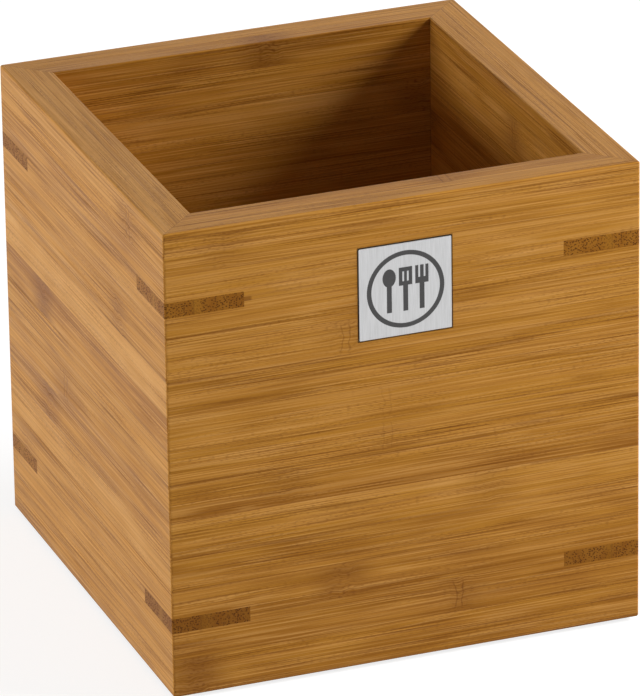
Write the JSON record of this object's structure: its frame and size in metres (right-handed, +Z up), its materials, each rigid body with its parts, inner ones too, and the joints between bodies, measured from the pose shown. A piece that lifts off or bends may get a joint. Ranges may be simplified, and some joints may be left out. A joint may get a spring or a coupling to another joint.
{
  "type": "utensil holder",
  "caption": "Open square box of laminated bamboo with splined mitre corners, an inlaid metal badge and corner pads, for standing kitchen utensils in.",
  "frame": {"origin": "bottom centre of the bounding box: on the table, under the middle of the box", "axes": "+Z up out of the open top, -Y towards the front wall with the badge, +X to the right as seen from the front"},
  "size_m": [0.125, 0.1253, 0.125],
  "materials": {
    "bamboo": "satin oiled caramel bamboo",
    "spline_bamboo": "darker bamboo, satin",
    "badge_steel": "fine brushed",
    "dark_enamel": "dark grey enamel",
    "adhesive": "clear adhesive film",
    "foot_rubber": "matt"
  },
  "bodies": {
    "root": {"front_wall_outer_ply": "bamboo", "front_wall_inner_ply": "bamboo", "right_wall_outer_ply": "bamboo", "right_wall_inner_ply": "bamboo", "back_wall_outer_ply": "bamboo", "back_wall_inner_ply": "bamboo", "left_wall_outer_ply": "bamboo", "left_wall_inner_ply": "bamboo", "base_panel": "bamboo", "spline_front_left_upper": "spline_bamboo", "spline_front_left_lower": "spline_bamboo", "spline_front_right_upper": "spline_bamboo", "spline_front_right_lower": "spline_bamboo", "spline_back_right_upper": "spline_bamboo", "spline_back_right_lower": "spline_bamboo", "spline_back_left_upper": "spline_bamboo", "spline_back_left_lower": "spline_bamboo", "badge_plate": "badge_steel", "badge_enamel": "dark_enamel", "badge_adhesive": "adhesive", "foot_front_left": "foot_rubber", "foot_front_right": "foot_rubber", "foot_back_right": "foot_rubber", "foot_back_left": "foot_rubber"}
  },
  "joints": []
}
